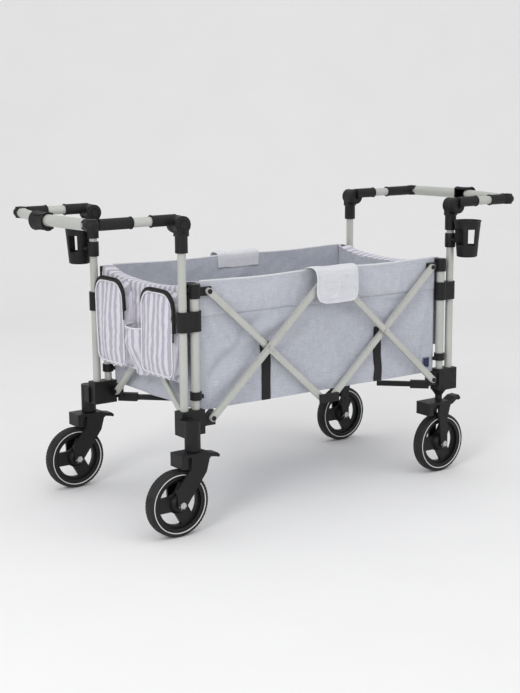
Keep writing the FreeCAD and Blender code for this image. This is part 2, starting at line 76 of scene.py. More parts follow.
# ---------------------------------------------------------------- materials
class Paint:
    """A procedural material under construction."""

    def __init__(self, name):
        self.material = bpy.data.materials.new(name)
        self.material.use_nodes = True
        self.tree = self.material.node_tree
        self.shader = self.tree.nodes["Principled BSDF"]
        self.place = self.add("ShaderNodeTexCoord").outputs["Object"]

    def add(self, kind, **settings):
        made = self.tree.nodes.new(kind)
        for key, value in settings.items():
            setattr(made, key, value)
        return made

    def link(self, source, target):
        self.tree.links.new(source, target)

    def grain(self, scale, stretch=(1, 1, 1), detail=3.0, rough=0.55):
        """Noise between 0 and 1, stretched where a factor is below 1."""
        mapping = self.add("ShaderNodeMapping")
        mapping.inputs["Scale"].default_value = stretch
        self.link(self.place, mapping.inputs["Vector"])
        texture = self.add("ShaderNodeTexNoise")
        texture.inputs["Scale"].default_value = scale
        texture.inputs["Detail"].default_value = detail
        texture.inputs["Roughness"].default_value = rough
        self.link(mapping.outputs["Vector"], texture.inputs["Vector"])
        return texture.outputs["Fac"]

    def math(self, operation, a, b=0.5):
        made = self.add("ShaderNodeMath", operation=operation)
        for socket, value in zip(made.inputs, (a, b)):
            if isinstance(value, (int, float)):
                socket.default_value = value
            else:
                self.link(value, socket)
        return made.outputs[0]

    def ramp(self, factor, stops):
        made = self.add("ShaderNodeValToRGB")
        band = made.color_ramp
        while len(band.elements) < len(stops):
            band.elements.new(0.5)
        for element, (at, colour) in zip(band.elements, stops):
            element.position = at
            element.color = (*colour, 1)
        self.link(factor, made.inputs["Fac"])
        return made.outputs["Color"]

    def blend(self, factor, a, b, mode="MIX"):
        made = self.add("ShaderNodeMix", data_type="RGBA", blend_type=mode)
        for socket, value in ((made.inputs[0], factor), (made.inputs[6], a), (made.inputs[7], b)):
            if isinstance(value, tuple):
                socket.default_value = (*value, 1)
            elif isinstance(value, (int, float)):
                socket.default_value = value
            else:
                self.link(value, socket)
        return made.outputs[2]

    def colour(self, source):
        self.link(source, self.shader.inputs["Base Color"])

    def rough(self, factor, low, high):
        made = self.add("ShaderNodeMapRange")
        made.inputs["To Min"].default_value = low
        made.inputs["To Max"].default_value = high
        self.link(factor, made.inputs["Value"])
        self.link(made.outputs["Result"], self.shader.inputs["Roughness"])

    def bump(self, height, strength, distance, edge=0.0):
        """Relief, over rounded edges of the given radius."""
        made = self.add("ShaderNodeBump")
        made.inputs["Strength"].default_value = strength
        made.inputs["Distance"].default_value = distance
        self.link(height, made.inputs["Height"])
        if edge:
            bevel = self.add("ShaderNodeBevel", samples=4)
            bevel.inputs["Radius"].default_value = edge
            self.link(bevel.outputs["Normal"], made.inputs["Normal"])
        self.link(made.outputs["Normal"], self.shader.inputs["Normal"])

    def constant(self, **values):
        for name, value in values.items():
            self.shader.inputs[name.replace("_", " ")].default_value = value


def plastic(name, dark, light, rough_low, rough_high, edge=0.0012, grain=1500):
    paint = Paint(name)
    broad = paint.grain(14, detail=4)
    fine = paint.grain(grain, detail=1)
    paint.colour(paint.ramp(broad, [(0.3, dark), (0.7, light)]))
    paint.rough(paint.grain(40, detail=4), rough_low, rough_high)
    paint.bump(fine, 0.25, 0.0002, edge)
    paint.constant(Specular_IOR_Level=0.30)
    return paint.material


def coated_tube(name, dark, light):
    paint = Paint(name)
    paint.colour(paint.ramp(paint.grain(9, detail=5), [(0.3, dark), (0.72, light)]))
    paint.rough(paint.grain(70, (1, 1, 0.3), detail=4), 0.30, 0.44)
    paint.bump(paint.grain(900, detail=2), 0.10, 0.00012, 0.0009)
    paint.constant(Metallic=0.15, Specular_IOR_Level=0.5)
    return paint.material


def threads(paint, scale):
    """Slubs along both thread directions of a plain weave."""
    upright = paint.grain(scale, (1, 1, 0.05), detail=2, rough=0.6)
    level = paint.grain(scale, (0.05, 0.05, 1), detail=2, rough=0.6)
    return upright, level


def woven(name, deep, middle, pale, scale=640, sheen=0.25):
    """Heather cloth: mottled threads, soft sheen and a fine weave."""
    paint = Paint(name)
    upright, level = threads(paint, scale)
    both = paint.math("ADD", paint.math("MULTIPLY", upright, 0.5), paint.math("MULTIPLY", level, 0.5))
    melange = paint.ramp(both, [(0.36, deep), (0.5, middle), (0.64, pale)])
    patch = paint.ramp(paint.grain(7, detail=5), [(0.3, (0.93, 0.93, 0.94)), (0.7, (1, 1, 1))])
    paint.colour(paint.blend(1.0, melange, patch, "MULTIPLY"))
    paint.rough(level, 0.78, 0.95)
    weave = paint.math("ADD", both, paint.math("MULTIPLY", paint.grain(2400, detail=0), 0.4))
    paint.bump(weave, 0.5, 0.0006)
    paint.constant(Sheen_Weight=sheen, Sheen_Roughness=0.5, Specular_IOR_Level=0.2)
    return paint.material


def striped(name, white, grey, period=0.029):
    """Upright stripes across the wagon's width."""
    paint = Paint(name)
    split = paint.add("ShaderNodeSeparateXYZ")
    paint.link(paint.place, split.inputs[0])
    phase = paint.math("MULTIPLY", split.outputs["Y"], 2 * math.pi / period)
    wave = paint.math("SINE", phase, 0)
    band = paint.add("ShaderNodeMapRange")
    band.inputs["From Min"].default_value = -0.16
    band.inputs["From Max"].default_value = 0.16
    paint.link(wave, band.inputs["Value"])
    upright, level = threads(paint, 620)
    both = paint.math("ADD", paint.math("MULTIPLY", upright, 0.5), paint.math("MULTIPLY", level, 0.5))
    mottle = paint.ramp(both, [(0.36, (0.90, 0.90, 0.91)), (0.64, (1, 1, 1))])
    base = paint.blend(band.outputs["Result"], white, grey)
    paint.colour(paint.blend(1.0, base, mottle, "MULTIPLY"))
    paint.rough(level, 0.8, 0.95)
    paint.bump(both, 0.45, 0.0006)
    paint.constant(Sheen_Weight=0.2, Sheen_Roughness=0.5, Specular_IOR_Level=0.2)
    return paint.material


def ribbed(name, dark, light, scale=1100):
    """Webbing and zip tape: fine ribs across the band."""
    paint = Paint(name)
    ribs = paint.grain(scale, (0.15, 0.15, 1), detail=1)
    paint.colour(paint.ramp(ribs, [(0.35, dark), (0.65, light)]))
    paint.rough(ribs, 0.6, 0.85)
    paint.bump(ribs, 0.6, 0.0005)
    paint.constant(Sheen_Weight=0.15, Specular_IOR_Level=0.3)
    return paint.material


def rubber(name):
    paint = Paint(name)
    broad = paint.grain(22, detail=5)
    paint.colour(paint.ramp(broad, [(0.3, (0.008, 0.008, 0.009)), (0.75, (0.024, 0.024, 0.025))]))
    paint.rough(paint.grain(90, detail=4), 0.55, 0.78)
    paint.bump(paint.grain(1300, detail=2), 0.3, 0.0003, 0.0006)
    paint.constant(Specular_IOR_Level=0.35)
    return paint.material


def metal(name, dark, light):
    paint = Paint(name)
    paint.colour(paint.ramp(paint.grain(260, (1, 1, 0.1), detail=3), [(0.3, dark), (0.7, light)]))
    paint.rough(paint.grain(400, detail=3), 0.22, 0.4)
    paint.bump(paint.grain(1400, detail=1), 0.15, 0.0001, 0.0004)
    paint.constant(Metallic=1.0)
    return paint.material


BLACK = plastic("black_moulding", (0.005, 0.005, 0.0055), (0.010, 0.010, 0.011), 0.40, 0.54)
GRIP = plastic("handle_grip", (0.006, 0.006, 0.0065), (0.012, 0.012, 0.013), 0.50, 0.64, 0.0016, 2200)
GREY = coated_tube("grey_coating", (0.455, 0.465, 0.43), (0.515, 0.525, 0.49))
FABRIC = woven("heather_cloth", (0.40, 0.415, 0.465), (0.475, 0.495, 0.55), (0.55, 0.57, 0.62))
HEM = woven("heather_hem", (0.43, 0.445, 0.495), (0.505, 0.52, 0.575), (0.58, 0.60, 0.645))
FLAP = woven("pale_flap_cloth", (0.60, 0.61, 0.64), (0.67, 0.68, 0.71), (0.74, 0.75, 0.78), 560)
STRIPES = striped("striped_cloth", (0.72, 0.70, 0.77), (0.46, 0.45, 0.51))
WHITE = woven("white_binding", (0.62, 0.62, 0.66), (0.74, 0.74, 0.77), (0.82, 0.82, 0.84), 900)
THREAD = woven("pale_thread", (0.50, 0.51, 0.55), (0.62, 0.63, 0.67), (0.72, 0.73, 0.76), 1500)
WEBBING = ribbed("black_webbing", (0.004, 0.004, 0.0045), (0.011, 0.011, 0.012))
TAPE = ribbed("zip_tape", (0.005, 0.005, 0.006), (0.013, 0.013, 0.014), 1500)
NAVY = woven("navy_label", (0.010, 0.018, 0.055), (0.018, 0.03, 0.085), (0.03, 0.05, 0.12), 1200)
RUBBER = rubber("tyre_rubber")
RING = plastic("white_ring", (0.66, 0.66, 0.65), (0.78, 0.78, 0.77), 0.35, 0.5, 0.0003)
STEEL = metal("plated_steel", (0.42, 0.42, 0.41), (0.62, 0.62, 0.60))


# ---------------------------------------------------------------- meshes
def piece(name, points, faces, material, body, slot=None):
    """A mesh object that rides on a body and carries the given material; slot is not used."""
    mesh = bpy.data.meshes.new(name)
    mesh.from_pydata([tuple(map(float, p)) for p in points], [], [tuple(map(int, f)) for f in faces])
    mesh.materials.append(material)
    mesh.polygons.foreach_set("use_smooth", [True] * len(mesh.polygons))
    mesh.validate()
    mesh.update()
    made = bpy.data.objects.new(name, mesh)
    bpy.context.scene.collection.objects.link(made)
    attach(made, body)
    return made


def grid_faces(rows, columns, start=0, flip=False, wrap=False):
    """Quads between neighbouring rows; wrap closes each row into a ring."""
    row = np.arange(rows - 1)[:, None] * columns
    column = np.arange(columns if wrap else columns - 1)[None, :]
    after = (column + 1) % columns
    quads = np.stack([row + column, row + after, row + columns + after, row + columns + column], -1)
    quads = quads.reshape(-1, 4) + start
    return (quads[:, ::-1] if flip else quads).tolist()


def normals_of(points):
    """Unit normals of a grid of points shaped (rows, columns, 3)."""
    along = np.gradient(points, axis=1)
    down = np.gradient(points, axis=0)
    normal = np.cross(along, down)
    return normal / np.maximum(np.linalg.norm(normal, axis=2, keepdims=True), 1e-12)


def layered(points, thick):
    """A closed sheet of the given thickness round a grid of middle points."""
    rows, columns = points.shape[:2]
    normal = normals_of(points)
    count = rows * columns
    both = np.concatenate([(points + sign * normal * thick / 2).reshape(-1, 3) for sign in (1, -1)])
    faces = grid_faces(rows, columns, flip=True) + grid_faces(rows, columns, count)
    top = list(range(columns))
    right = [r * columns + columns - 1 for r in range(rows)]
    bottom = list(range((rows - 1) * columns, count))
    left = [r * columns for r in range(rows)]
    for line, turned in ((top, False), (right, False), (bottom, True), (left, True)):
        for a, b in zip(line, line[1:]):
            quad = (a, b, b + count, a + count)
            faces.append(quad[::-1] if turned else quad)
    return both, faces


def sheet_piece(name, points, thick, material, body, slot=None):
    return piece(name, *layered(points, thick), material, body, slot)


def frames(path, closed):
    """Two side directions at every point of a path, carried along without twist."""
    path = np.asarray(path, float)
    ahead = np.roll(path, -1, 0) - np.roll(path, 1, 0) if closed else np.gradient(path, axis=0)
    ahead /= np.maximum(np.linalg.norm(ahead, axis=1, keepdims=True), 1e-12)
    start = np.cross(ahead[0], (0.0, 0.0, 1.0))
    if np.linalg.norm(start) < 1e-3:
        start = np.cross(ahead[0], (1.0, 0.0, 0.0))
    side = np.zeros_like(path)
    current = start / np.linalg.norm(start)
    for i, direction in enumerate(ahead):
        current = current - direction * np.dot(current, direction)
        current /= np.linalg.norm(current)
        side[i] = current
    return side, np.cross(ahead, side), ahead


def tube_mesh(path, radius, closed=False, sides=10, flat=1.0):
    path = np.asarray(path, float)
    side, up, _ = frames(path, closed)
    angle = np.arange(sides) * 2 * math.pi / sides
    ring = side[:, None] * np.cos(angle)[None, :, None] + up[:, None] * (np.sin(angle) * flat)[None, :, None]
    points = (path[:, None] + ring * radius).reshape(-1, 3)
    rows = len(path)
    faces = grid_faces(rows, sides, wrap=True)
    if closed:
        last = (rows - 1) * sides
        faces += [(last + i, last + (i + 1) % sides, (i + 1) % sides, i) for i in range(sides)]
        return points, faces
    faces.append(tuple(range(sides))[::-1])
    faces.append(tuple(range((rows - 1) * sides, rows * sides)))
    return points, faces


def tube_piece(name, path, radius, material, body, slot=None, closed=False):
    return piece(name, *tube_mesh(path, radius, closed), material, body, slot)


def resample(path, gap):
    """Evenly spaced points along a path."""
    path = np.asarray(path, float)
    run = np.concatenate([[0], np.cumsum(np.linalg.norm(np.diff(path, axis=0), axis=1))])
    at = np.arange(gap / 2, run[-1], gap)
    return np.stack([np.interp(at, run, path[:, i]) for i in range(3)], 1)


def merged(parts):
    """Several (points, faces) meshes as one."""
    points, faces, start = [], [], 0
    for some, quads in parts:
        points.append(np.asarray(some, float))
        faces += [tuple(i + start for i in quad) for quad in quads]
        start += len(some)
    return np.concatenate(points), faces


def stitch_mesh(path, gap=0.0055, long=0.0036, radius=0.0005):
    """Short raised threads in a row along a seam."""
    spots = resample(path, gap)
    _, _, ahead = frames(spots, False)
    parts = []
    for spot, direction in zip(spots, ahead):
        line = [spot - direction * long / 2, spot - direction * long / 4, spot + direction * long / 4,
                spot + direction * long / 2]
        points, faces = tube_mesh(line, radius, sides=6)
        parts.append((points, faces))
    return merged(parts)


def stitch_piece(name, paths, body, squash_with, material=None):
    made = piece(name, *merged([stitch_mesh(p) for p in paths]), material or THREAD, body, "basket_fabric")
    return squash_with(made)


def lathe(profile, steps, centre, wobble=None):
    """A ring turned about Y through centre, from (radius, y) points; wobble moves single points outward."""
    profile = np.asarray(profile, float)
    angle = np.arange(steps) * 2 * math.pi / steps
    radius = np.repeat(profile[:, 0][:, None], steps, 1)
    if wobble is not None:
        radius = radius + wobble(np.arange(len(profile))[:, None], angle[None, :])
    level = np.repeat(profile[:, 1][:, None], steps, 1)
    points = np.stack([radius * np.cos(angle), level, radius * np.sin(angle)], -1) + np.asarray(centre)
    faces = grid_faces(len(profile), steps, wrap=True)
    last = (len(profile) - 1) * steps
    faces += [(last + i, last + (i + 1) % steps, (i + 1) % steps, i) for i in range(steps)]
    return points.reshape(-1, 3), faces


def ripple(a, b, seed, wavelength, count=10):
    """Smooth uneven waves of about one unit, from a few seeded sines."""
    random = np.random.default_rng(seed)
    total = np.zeros_like(a)
    for _ in range(count):
        heading = random.uniform(0, 2 * math.pi)
        wave = 2 * math.pi / (wavelength * random.uniform(0.6, 1.6))
        total += np.sin(wave * (a * math.cos(heading) + b * math.sin(heading)) + random.uniform(0, 6.28))
    return total / math.sqrt(count)


def crease(a, b, line, width):
    """1 on a line between two points, falling off to each side and past its ends."""
    (a0, b0), (a1, b1) = line
    da, db = a1 - a0, b1 - b0
    long = math.hypot(da, db)
    along = ((a - a0) * da + (b - b0) * db) / long
    off = ((a - a0) * db - (b - b0) * da) / long
    past = np.maximum(0, np.maximum(-along, along - long))
    return np.exp(-(off / width) ** 2 - (past / (2.2 * width)) ** 2)


def step(value, low, high):
    t = np.clip((value - low) / (high - low), 0, 1)
    return t * t * (3 - 2 * t)


# ---------------------------------------------------------------- CAD nodes
def paint_faces(node, choose):
    """Gives a CAD node's faces one of several materials by where each face's middle is."""
    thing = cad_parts[node]
    thing.data.materials.clear()
    found = {}
    for face in thing.data.polygons:
        material = choose(face.center)
        if material.name not in found:
            found[material.name] = len(thing.data.materials)
            thing.data.materials.append(material)
        face.material_index = found[material.name]


def paint_node(node, material):
    paint_faces(node, lambda _: material)


def paint_frame():
    for corner in CORNERS:
        paint_node(f"posts_{corner}", GREY)
        paint_node(f"foot_{corner}", BLACK)
        paint_node(f"button_{corner}", GRIP)
        paint_node(f"rim_{corner}", BLACK)
        slide_low, slide_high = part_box(f"slide_{corner}")
        collar_top, bracket_low = slide_low.z + 0.0255, slide_high.z - 0.0435
        paint_faces(
            f"slide_{corner}",
            lambda c: GREY if collar_top < c.z < bracket_low and abs(c.x) > 0.478 else BLACK,
        )
        paint_faces(f"handle_arm_{corner}", lambda c: GREY if GREY_FROM < abs(c.x) < GREY_TO else GRIP)
        wheel = (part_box(f"tyre_{corner}")[0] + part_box(f"tyre_{corner}")[1]) / 2

        def fork_finish(c):
            return STEEL if math.hypot(c.x - wheel.x, c.z - wheel.z) < 0.0097 else BLACK

        paint_faces(f"fork_{corner}", fork_finish)
    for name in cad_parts:
        if name.endswith("_link") or name.startswith(("swivel_lock", "brake_pedal", "cup_holder")):
            paint_node(name, BLACK)
    for name in [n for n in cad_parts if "_bar_" in n]:
        low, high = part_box(name)
        middle = (low + high) / 2
        across = 0 if name.startswith(("front", "rear")) else 1

        def bar_finish(c):
            rest = [c[i] - middle[i] for i in range(3)]
            rest[across] = 0
            return STEEL if math.hypot(*rest) < 0.0095 and abs(c[across]) > 0 else GREY

        paint_faces(name, bar_finish)


def paint_crossbars():
    """Elbow grip and middle housing black, the tube between them grey."""
    for corner, (sx, sy) in CORNERS.items():
        thick = sx == sy
        elbow_x = sx * (THICK_ELBOW_X if thick else THIN_ELBOW_X)
        elbow_y = sy * POST_Y - sx * ARM_SIDE

        def finish(c):
            run = math.hypot(c.x - elbow_x, c.y - elbow_y)
            if run < 0.0305:
                return GRIP
            return BLACK if thick and run > 0.2290 else GREY

        paint_faces(f"crossbar_{corner}", finish)


# ---------------------------------------------------------------- basket
def squash_long(made):
    """Gives a long-side piece its own copy of its mesh."""
    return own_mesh(made)


def squash_end(made):
    """Gives an end piece its own copy of its mesh."""
    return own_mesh(made)


FOLDS = [
    (((-0.33, 0.545), (-0.05, 0.632)), 0.020, 0.0050),
    (((-0.30, 0.500), (-0.10, 0.565)), 0.028, -0.0050),
    (((-0.46, 0.430), (-0.28, 0.585)), 0.020, -0.0075),
    (((-0.47, 0.380), (-0.33, 0.475)), 0.024, 0.0050),
    (((-0.45, 0.640), (-0.36, 0.520)), 0.016, 0.0040),
    (((0.02, 0.630), (0.10, 0.470)), 0.035, -0.0045),
    (((0.455, 0.640), (0.40, 0.420)), 0.020, 0.0040),
    (((0.16, 0.620), (0.42, 0.600)), 0.018, -0.0040),
    (((-0.10, 0.370), (0.20, 0.395)), 0.022, 0.0035),
]


def long_out(x, z, side):
    """How far a long wall stands outside its plane."""
    flip = x if side == LEFT else -x * 0.93 + 0.02
    total = 0.0016 * ripple(flip, z, 5, 0.16) + 0.0006 * ripple(flip, z, 8, 0.045)
    for line, width, tall in FOLDS:
        total = total + 1.5 * tall * crease(flip, z, line, width)
    sag = np.sin(np.pi * (x + TUB_X) / (2 * TUB_X)) ** 2
    total = total - 0.010 * np.exp(-((z - RIM_Z) / 0.09) ** 2) * sag
    total = total - 0.0016 * np.exp(-((z - HEM_Z) / 0.004) ** 2)
    corner = step(np.abs(x), 0.475, 0.41)
    return np.clip(total, -0.022, 0.0068) * (0.12 + 0.88 * corner)


def rim_height(x):
    """The rim hangs a little between the corners and rises to the middle link."""
    return RIM_Z - 0.0045 * np.sin(np.pi * np.abs(x) / TUB_X) ** 2


def long_point(x, z, side, proud=0.0):
    out = TUB_Y + long_out(x, z, side) + proud
    return np.stack([x, side * out, z], -1)


def oriented(side, name, points, thick, material, body, slot=None):
    """Sheet whose outer face looks away from the wagon's middle line."""
    return sheet_piece(name, points if side == RIGHT else points[:, ::-1], thick, material, body, slot)


def strip_path(side, level, proud, count=150, low=-TUB_X + 0.004, high=TUB_X - 0.004):
    x = np.linspace(low, high, count)
    z = level(x) if callable(level) else np.full_like(x, level)
    return long_point(x, z, side, proud)


def long_walls():
    for side, name, body in ((LEFT, "left", "left_top_link"), (RIGHT, "right", "right_top_link")):
        u = np.linspace(-TUB_X, TUB_X, 221)[None, :]
        v = np.linspace(0, 1, 91)[:, None]
        x = u + 0 * v
        z = FLOOR_Z + (rim_height(x) - FLOOR_Z) * v
        wall = oriented(side, f"wall_{name}", long_point(x, z, side), CLOTH, FABRIC, body)
        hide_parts("basket")
        squash_long(wall)
        v = np.linspace(0, 1, 31)[:, None]
        x = u + 0 * v
        z = HEM_Z + (rim_height(x) + 0.001 - HEM_Z) * v
        puff = 0.0019 + 0.0006 * np.sin(np.pi * v)
        squash_long(oriented(side, f"hem_{name}", long_point(x, z, side, puff), 0.0014, HEM, body))
        squash_long(tube_piece(
            f"rim_piping_{name}", strip_path(side, lambda x: rim_height(x) + 0.0022, 0.0006), 0.0034,
            FLAP, body,
        ))
        rows = [strip_path(side, level, 0.0029) for level in (HEM_Z + 0.004, HEM_Z + 0.010)]
        rows.append(strip_path(side, lambda x: rim_height(x) - 0.008, 0.0032))
        stitch_piece(f"hem_stitches_{name}", rows, body, squash_long)
        squash_long(tube_piece(
            f"bottom_piping_{name}", strip_path(side, FLOOR_Z + 0.002, 0.0006), 0.0026, FABRIC, body,
        ))
        straps(side, name, body)
        flap(side, name, body)
    label()


def straps(side, name, body):
    """Two webbing straps that run down from the crossings, stitched to the wall down both edges."""
    for place, centre in (("front", -0.231), ("rear", 0.2245)):
        x = centre + np.linspace(-0.0165, 0.0165, 9)[None, :]
        z = np.linspace(FLOOR_Z - 0.0005, 0.535, 60)[:, None]
        points = long_point(x + 0 * z, z + 0 * x, side, 0.0030)
        squash_long(oriented(side, f"strap_{name}_{place}", points, 0.0020, WEBBING, body))
        edge_rows = []
        for edge in (-0.0135, 0.0135):
            level = np.linspace(FLOOR_Z + 0.004, 0.530, 40)
            edge_rows.append(long_point(np.full_like(level, centre + edge), level, side, 0.0042))
        stitch_piece(f"strap_stitches_{name}_{place}", edge_rows, body, squash_long, TAPE)


def flap(side, name, body):
    """A pale cover that comes over the rim and hangs outside the top link, with rounded lower corners."""
    low_x, high_x, corner = -0.068, 0.104, 0.030
    inner, outer, crest = TUB_Y - 0.012, 0.2990, RIM_Z + 0.008
    route = np.array([
        (inner, 0.700), (inner, 0.735), (inner + 0.006, crest), (TUB_Y + 0.012, crest + 0.0035),
        (0.286, crest + 0.002), (outer - 0.001, crest - 0.012), (outer + 0.001, 0.700), (outer, 0.670),
        (outer + 0.002, 0.641),
    ])
    knots = np.linspace(0, 1, len(route))
    v = np.linspace(0, 1, 81)
    y, z = (smooth_line(knots, route[:, i], v) for i in (0, 1))
    run = np.concatenate([[0], np.cumsum(np.hypot(np.diff(y), np.diff(z)))])
    end = run[-1] - run
    u = np.linspace(-1, 1, 61)
    trim = np.where(end < corner, corner - np.sqrt(np.maximum(corner ** 2 - (corner - end) ** 2, 0)), 0)
    middle, half = (low_x + high_x) / 2, (high_x - low_x) / 2
    lean = 0.004 * step(run, 0.05, 0.13)[:, None] * (1 - u[None, :])
    x = middle + u[None, :] * (half - trim[:, None]) + lean
    hang = step(run, 0.085, 0.17)[:, None]
    curl = 0.0022 * np.abs(u[None, :]) ** 3
    wave = hang * (0.0020 * ripple(x, run[:, None] + 0 * x, 21, 0.07) + curl)
    out = y[:, None] + np.maximum(wave, -0.0008)
    points = np.stack([x, side * out, z[:, None] + 0 * x + 0.0012 * ripple(x, 0 * x, 3, 0.09)], -1)
    cover = oriented(side, f"flap_{name}", points, 0.0026, FLAP, body)
    squash_long(cover)
    border = np.concatenate([points[25:, 0], points[-1, 1:-1], points[25:, -1][::-1]])
    border = resample(border, 0.003)
    squash_long(tube_piece(f"flap_piping_{name}", border, 0.0016, WHITE, body, "basket_fabric"))
    inset = points[25:-4, 3:-3]
    line = np.concatenate([inset[:, 0], inset[-1, 1:-1], inset[:, -1][::-1]])
    line = line + np.array([0, side * 0.0017, 0])
    stitch_piece(f"flap_stitches_{name}", [line], body, squash_long)


def smooth_line(knots, values, at):
    """Cubic curve through values at knots, with slopes from the neighbours."""
    slope = np.gradient(values, knots)
    index = np.clip(np.searchsorted(knots, at, side="right") - 1, 0, len(knots) - 2)
    width = knots[index + 1] - knots[index]
    t = (at - knots[index]) / width
    return (
        (2 * t ** 3 - 3 * t ** 2 + 1) * values[index] + (t ** 3 - 2 * t ** 2 + t) * width * slope[index]
        + (-2 * t ** 3 + 3 * t ** 2) * values[index + 1] + (t ** 3 - t ** 2) * width * slope[index + 1]
    )


def label():
    """A small plain navy label near the rear lower corner."""
    x = np.linspace(0.429, 0.459, 13)[None, :]
    z = np.linspace(0.369, 0.404, 13)[:, None]
    points = long_point(x + 0 * z, z + 0 * x, LEFT, 0.0024)
    squash_long(oriented(LEFT, "label", points, 0.0010, NAVY, "left_top_link"))
    ring = [(0.4305, 0.3705), (0.4575, 0.3705), (0.4575, 0.4025), (0.4305, 0.4025), (0.4305, 0.3705)]
    ring = np.array(ring)
    path = long_point(ring[:, 0], ring[:, 1], LEFT, 0.0033)
    stitch_piece("label_stitches", [resample(path, 0.001)], "left_top_link", squash_long)


def end_out(y, z, front):
    total = 0.0016 * ripple(y, z, 31 if front else 47, 0.13) + 0.0005 * ripple(y, z, 13, 0.04)
    for line, width, tall in (
        (((-0.22, 0.36), (0.02, 0.43)), 0.020, 0.006), (((0.20, 0.36), (0.05, 0.44)), 0.022, -0.006),
        (((-0.15, 0.40), (0.16, 0.40)), 0.016, -0.004), (((-0.23, 0.60), (-0.12, 0.45)), 0.022, 0.004),
    ):
        total = total + tall * crease(y, z, line, width)
    corner = step(np.abs(y), TUB_Y, 0.19)
    return np.clip(total, -0.016, 0.0055) * (0.1 + 0.9 * corner)


def end_point(y, z, sx, proud=0.0):
    out = TUB_X - 0.001 + end_out(y, z, sx < 0) + proud
    return np.stack([sx * out, y, z], -1)


def end_rim(y):
    """An end's rim drops just inside its corners and sags in the middle."""
    return RIM_Z - 0.026 * (1 - np.abs(y / TUB_Y) ** 6) - 0.010 * np.cos(np.pi * y / (2 * TUB_Y)) ** 2


def end_walls():
    for sx, name, body in ((-1, "front", "upper_fl"), (1, "rear", "upper_rl")):
        u = np.linspace(-TUB_Y + 0.002, TUB_Y - 0.002, 121)[None, :]
        v = np.linspace(0, 1, 81)[:, None]
        y = u + 0 * v
        z = FLOOR_Z + (end_rim(y) - FLOOR_Z) * v
        points = end_point(y, z, sx)
        wall = sheet_piece(
            f"wall_{name}", points if sx < 0 else points[:, ::-1], CLOTH, FABRIC, body,
        )
        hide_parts("basket")
        squash_end(wall)
        line = np.linspace(-TUB_Y + 0.004, TUB_Y - 0.004, 90)
        squash_end(tube_piece(
            f"rim_piping_{name}", end_point(line, end_rim(line) + 0.0022, sx, 0.0006), 0.0034, FLAP, body,
        ))
        squash_end(tube_piece(
            f"bottom_piping_{name}", end_point(line, np.full_like(line, FLOOR_Z + 0.002), sx, 0.0006), 0.0026,
            FABRIC, body,
        ))


def floor_mats():
    """Two overlapping halves of the padded floor; they slide over each other as the wagon narrows."""
    for side, name, level in ((LEFT, "left", 0.3575), (RIGHT, "right", 0.3530)):
        body = f"{name}_top_link"
        x = np.linspace(-TUB_X + 0.004, TUB_X - 0.004, 161)[None, :]
        y = side * np.linspace(-0.008, TUB_Y - 0.003, 61)[:, None]
        x, y = x + 0 * y, y + 0 * x
        quilt = 0.0009 * np.abs(np.sin(np.pi * x / 0.16)) * np.abs(np.sin(np.pi * y / 0.128)) ** 0.5
        points = np.stack([x, y, level + quilt], -1)
        mat = sheet_piece(
            f"floor_{name}", points if side == RIGHT else points[::-1], 0.0018, FABRIC, body,
        )
        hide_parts("basket")
        squash_long(mat)


# ---------------------------------------------------------------- pouches
def outline(width, height, top_r, low_r, count=144, lean=0.0):
    """Evenly spaced points round a rounded rectangle about the origin, anticlockwise from the lower left."""
    w, h = width / 2, height / 2
    corners = [(-w, -h, low_r, 180), (w, -h, low_r, 270), (w, h, top_r, 0), (-w, h, top_r, 90)]
    points = []
    for cx, cz, r, start in corners:
        mx, mz = cx - math.copysign(r, cx), cz - math.copysign(r, cz)
        for angle in np.radians(np.linspace(start, start + 90, 16)):
            points.append((mx + r * math.cos(angle), mz + r * math.sin(angle)))
    points.append(points[0])
    points = np.array(points)
    run = np.concatenate([[0], np.cumsum(np.linalg.norm(np.diff(points, axis=0), axis=1))])
    at = np.arange(count) * run[-1] / count
    y = np.interp(at, run, points[:, 0])
    z = np.interp(at, run, points[:, 1])
    return np.stack([y + lean * z, z], 1)


